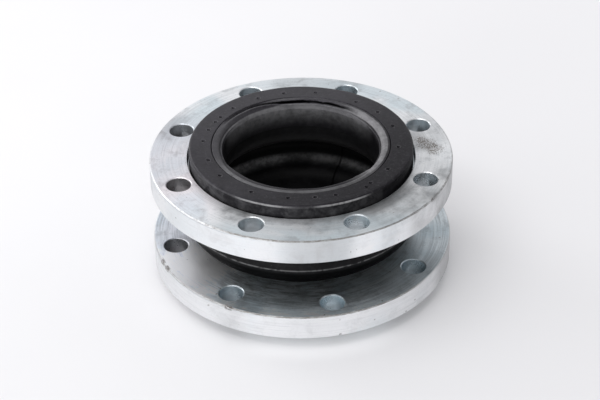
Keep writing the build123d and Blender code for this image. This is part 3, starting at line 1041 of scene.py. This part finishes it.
def crown_angles(reach):
    """Steps round the crown from -reach to reach, fine at the parting line and the cuts."""
    angles = list(np.arange(-reach, reach, 3.0)) + [reach]
    angles += list(np.arange(-2.4, 2.41, 0.4))
    angles += [-reach + 0.8, -reach + 1.8, reach - 0.8, reach - 1.8]
    angles = sorted(set(round(angle, 4) for angle in angles if -reach <= angle <= reach))
    kept = [angles[0]]
    for angle in angles[1:]:
        if angle - kept[-1] > 0.3:
            kept.append(angle)
    kept[-1] = reach
    return kept


def inner_profile(height):
    """Radius of the bore side at a height, and its direction into the bore."""
    low = height if height <= MID else LENGTH - height
    sign = 1 if height <= MID else -1
    touch = BORE_BEND[1] + BORE_BEND_R * (MID - BORE_BEND[1]) / (CAVITY_R + BORE_BEND_R)
    if low <= BORE_BEND[1]:
        return BORE, -1.0, 0.0
    if low <= touch:
        sine = (low - BORE_BEND[1]) / BORE_BEND_R
        cosine = math.sqrt(1 - sine * sine)
        return BORE_BEND[0] - BORE_BEND_R * cosine, -cosine, sign * sine
    sine = (MID - low) / CAVITY_R
    cosine = math.sqrt(max(0.0, 1 - sine * sine))
    return CAVITY[0] + CAVITY_R * cosine, -cosine, sign * sine


def close_band(section, top, bottom, steps):
    """Add the bore side, in even steps along the wall, and harden the four corners."""
    section.hard.add(0)
    section.harden_last()
    section.materials[-1] = INNER
    heights = np.linspace(top, bottom, 400)
    outline = np.array([(inner_profile(height)[0], height) for height in heights])
    run = np.concatenate([[0], np.cumsum(np.hypot(*np.diff(outline, axis=0).T))])
    section.hard.add(len(section.rows))
    for distance in span(0, run[-1], steps):
        height = float(np.interp(distance, run, heights))
        radius, out_radius, out_height = inner_profile(height)
        section.add((radius, height), (out_radius, out_height), "cavity", INNER)
    section.harden_last()
    return section


# the angle of the neck bend at the cut between neck and flank, and of the arch at its cut
NECK_CUT = math.degrees(math.asin((NECK_TOP - NECK_BEND[1]) / NECK_BEND_R))
ARCH_CUT = math.degrees(math.asin((MID - FLANK_TOP) / ARCH_R))


def neck_section():
    section = Section()
    section.line((NECK, END_TOP), (NECK, NECK_BEND[1]), (1, 0), 12, "neck", OUTER)
    section.arc(NECK_BEND, NECK_BEND_R, span(180, 180 - NECK_CUT, 12), "fillet", OUTER, side=-1)
    return close_band(section, NECK_TOP, END_TOP, 20)


def flank_section():
    section = Section()
    section.arc(NECK_BEND, NECK_BEND_R, span(180 - NECK_CUT, 90, 10), "fillet", OUTER, side=-1)
    section.arc(ARCH, ARCH_R, span(-90, -ARCH_CUT, 16), "crown", OUTER)
    return close_band(section, FLANK_TOP, NECK_TOP, 14)


def crown_section():
    section = Section()
    section.arc(ARCH, ARCH_R, crown_angles(ARCH_CUT), "crown", OUTER)
    return close_band(section, LENGTH - FLANK_TOP, FLANK_TOP, 52)


# ---- rubber pieces ---------------------------------------------------------------------
def end_piece(name, upper):
    parts = [turned_part(end_section(), FINE_ANGLES, end_shape(upper), flip=upper),
             turned_part(core_section(), CORE_ANGLES, flip=upper, inside=True)]
    return build_mesh(name, parts, [M_BEAD, M_COVER])


def wall_band(name, section, upper=False):
    part = turned_part(section, FINE_ANGLES, wall_shape, flip=upper)
    return build_mesh(name, [part], [M_COVER, M_TUBE])


upper_end = end_piece("upper_end_rubber", upper=True)
lower_end = end_piece("lower_end_rubber", upper=False)
crown = wall_band("wall_crown", crown_section())
lower_neck = wall_band("wall_lower_neck", neck_section())
upper_neck = wall_band("wall_upper_neck", neck_section(), upper=True)
lower_flank = wall_band("wall_lower_flank_ring", flank_section())
upper_flank = wall_band("wall_upper_flank_ring", flank_section(), upper=True)

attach(upper_end, "upper_end")
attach(lower_end, "lower_end")
# bake each band's place into its mesh; the bands are tied to no body
for i, band in enumerate((lower_neck, lower_flank, crown, upper_flank, upper_neck)):
    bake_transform(band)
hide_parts("upper_bead_rubber")
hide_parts("lower_bead_rubber")
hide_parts("outer_cover", "inner_tube",
            "cord_ply_1", "cord_ply_2", "cord_ply_3", "cord_ply_4")


# ---- bead wires: every turn as its own closed hoop ---------------------------------------
def wire_hoops(name, body, node, upper):
    """Four by four hoops, centred in the wire bundle's room."""
    room_centre = ((88.65 + 98.5) / 2, (5.65 + 16.15) / 2)
    wire_r, pitch, count = 1.0, 2.05, 4
    parts = []
    for i in range(count):
        for j in range(count):
            centre = (room_centre[0] + (i - (count - 1) / 2) * pitch,
                      room_centre[1] + (j - (count - 1) / 2) * pitch)
            section = Section()
            section.arc(centre, wire_r, span(0, 360, 10))
            parts.append(turned_part(section, WIRE_ANGLES, flip=upper))
    hoops = build_mesh(name, parts, [M_WIRE])
    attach(hoops, body)
    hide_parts(node)


wire_hoops("upper_wire_hoops", "upper_end", "upper_bead_wires", upper=True)
wire_hoops("lower_wire_hoops", "lower_end", "lower_bead_wires", upper=False)

# ---- carried-over solids: node, material, slot --------------------------------------------
SOLIDS = (
    ("upper_flange", M_ZINC_UPPER, "zinc_flange"),
    ("lower_flange", M_ZINC_LOWER, "zinc_flange"),
    ("upper_bead_filler", M_FILLER, "hard_filler_rubber"),
    ("lower_bead_filler", M_FILLER, "hard_filler_rubber"),
    ("upper_bead_wire_wrap", M_TAPE, "wrap_tape"),
    ("lower_bead_wire_wrap", M_TAPE, "wrap_tape"),
    ("upper_bead_wires", M_WIRE, "bead_wire"),
    ("lower_bead_wires", M_WIRE, "bead_wire"),
    ("upper_bead_rubber", M_COVER, "cover_rubber"),
    ("lower_bead_rubber", M_COVER, "cover_rubber"),
    ("outer_cover", M_COVER, "cover_rubber"),
    ("inner_tube", M_TUBE, "tube_rubber"),
    ("cord_ply_1", M_TAPE, "nylon_cord"),
    ("cord_ply_2", M_TAPE, "nylon_cord"),
    ("cord_ply_3", M_TAPE, "nylon_cord"),
    ("cord_ply_4", M_TAPE, "nylon_cord"),
)
for name, material, slot_name in SOLIDS:
    solid = nodes[name]
    solid.data.materials.clear()
    solid.data.materials.append(material)


# ---- floor, light, camera -----------------------------------------------------------------
def floor_material():
    look = Shader("studio_floor")
    look.colour = look.mix(look.noise(scale=3.0, detail=3.0).ramp(0.3, 0.7),
                           (0.700, 0.697, 0.713), (0.714, 0.711, 0.727))
    # painted light: a little lighter towards the right and the front
    look.coat((look.x - look.y * 0.25).ramp(-0.30, 0.34), (0.724, 0.721, 0.739))
    # painted light: lighter towards the back
    look.shade(look.y.ramp(-0.20, 0.50, to=(0.94, 1.09), smooth=False))
    rough = look.noise(scale=40.0).ramp(0.3, 0.7, to=(0.75, 0.85))
    normal = look.bump(look.noise(scale=600.0), strength=0.03, distance=0.0003)
    # painted light: a faint glow everywhere lifts the floor's shade, stronger in a ring close in
    # front of the joint
    close = look.radius.ramp(0.118, 0.130) * look.radius.fall(0.138, 0.162)
    close = close * look.facing(-84).ramp(0.80, 0.97)
    look.bsdf.inputs["Emission Color"].default_value = (1.0, 0.995, 1.0, 1.0)
    put(look.tree, look.bsdf.inputs["Emission Strength"], 0.138 + close * 0.13)
    return look.finish(rough, normal, specular=0.15)


def build_floor():
    """A disc of rings, just below the lower sealing face."""
    count = 96
    radii = (0.25, 0.6, 1.2, 2.5, 5.0, 9.0)
    verts = [(0, 0, 0)]
    for radius in radii:
        for k in range(count):
            angle = 2 * math.pi * k / count
            verts.append((radius * math.cos(angle), radius * math.sin(angle), 0))
    faces = [(0, 1 + k, 1 + (k + 1) % count) for k in range(count)]
    for i in range(len(radii) - 1):
        for k in range(count):
            this = 1 + i * count + k
            following = 1 + i * count + (k + 1) % count
            faces.append((this, this + count, following + count, following))
    mesh = bpy.data.meshes.new("floor")
    mesh.from_pydata(verts, [], faces)
    mesh.update()
    floor = link_object("floor", mesh)
    floor.location = (0, 0, -0.0003)
    mesh.materials.append(floor_material())


def area_light(name, location, aim, size, power):
    light = bpy.data.lights.new(name, "AREA")
    light.shape = "RECTANGLE"
    light.size, light.size_y = size
    light.energy = power
    lamp = link_object(name, light)
    lamp.location = location
    lamp.rotation_mode = "QUATERNION"
    lamp.rotation_quaternion = (Vector(aim) - Vector(location)).to_track_quat("-Z", "Y")


def build_world():
    """A white room, brighter to the back and the left, dimmer to the right and in front."""
    world = bpy.data.worlds.new("studio")
    bpy.context.scene.world = world
    world.use_nodes = True
    tree = world.node_tree
    tree.nodes.clear()
    output = new_node(tree, "OutputWorld")
    background = new_node(tree, "Background")
    tree.links.new(background.outputs[0], output.inputs[0])
    direction = Value(tree, new_node(tree, "TexCoord").outputs["Generated"])
    x, y, z = direction.split()
    level = 0.60 + x * -0.15 + y * 0.26 + z * 0.04
    put(tree, background.inputs["Strength"], level)
    put(tree, background.inputs["Color"], (0.985, 0.985, 1.0))


def build_camera():
    data = bpy.data.cameras.new("camera")
    data.sensor_width = 36.0
    data.lens = 114.46
    data.clip_start, data.clip_end = 0.05, 100.0
    camera = link_object("camera", data)
    camera.matrix_world = Matrix((
        (0.99967206, 0.02246956, -0.01228349, -0.0235205),
        (-0.02276858, 0.56036897, -0.82793008, -1.4797612),
        (-0.01171993, 0.82793825, 0.5606968, 1.0692521),
        (0, 0, 0, 1)))
    bpy.context.scene.camera = camera


build_floor()
# name, location, point aimed at, size, power
for light_row in (
        ("overhead", (-0.25, -0.15, 1.65), (0, 0, 0), (1.3, 1.2), 6.5),
        ("overhead_strip", (-0.45, -0.75, 1.45), (0, 0, 0.1), (1.5, 0.22), 4.8),
        ("back_left", (-1.5, 1.25, 1.05), (0, 0, 0.1), (0.8, 0.8), 7.5),
        ("front_left_fill", (-1.2, -2.3, 0.60), (0, 0, 0.06), (1.7, 0.8), 24),
        ("left_low", (-2.2, -0.25, 0.46), (0, 0, 0.05), (1.3, 0.6), 14)):
    area_light(*light_row)
build_world()
build_camera()
bpy.context.scene.view_settings.view_transform = "Standard"
bpy.context.scene.view_settings.look = "None"
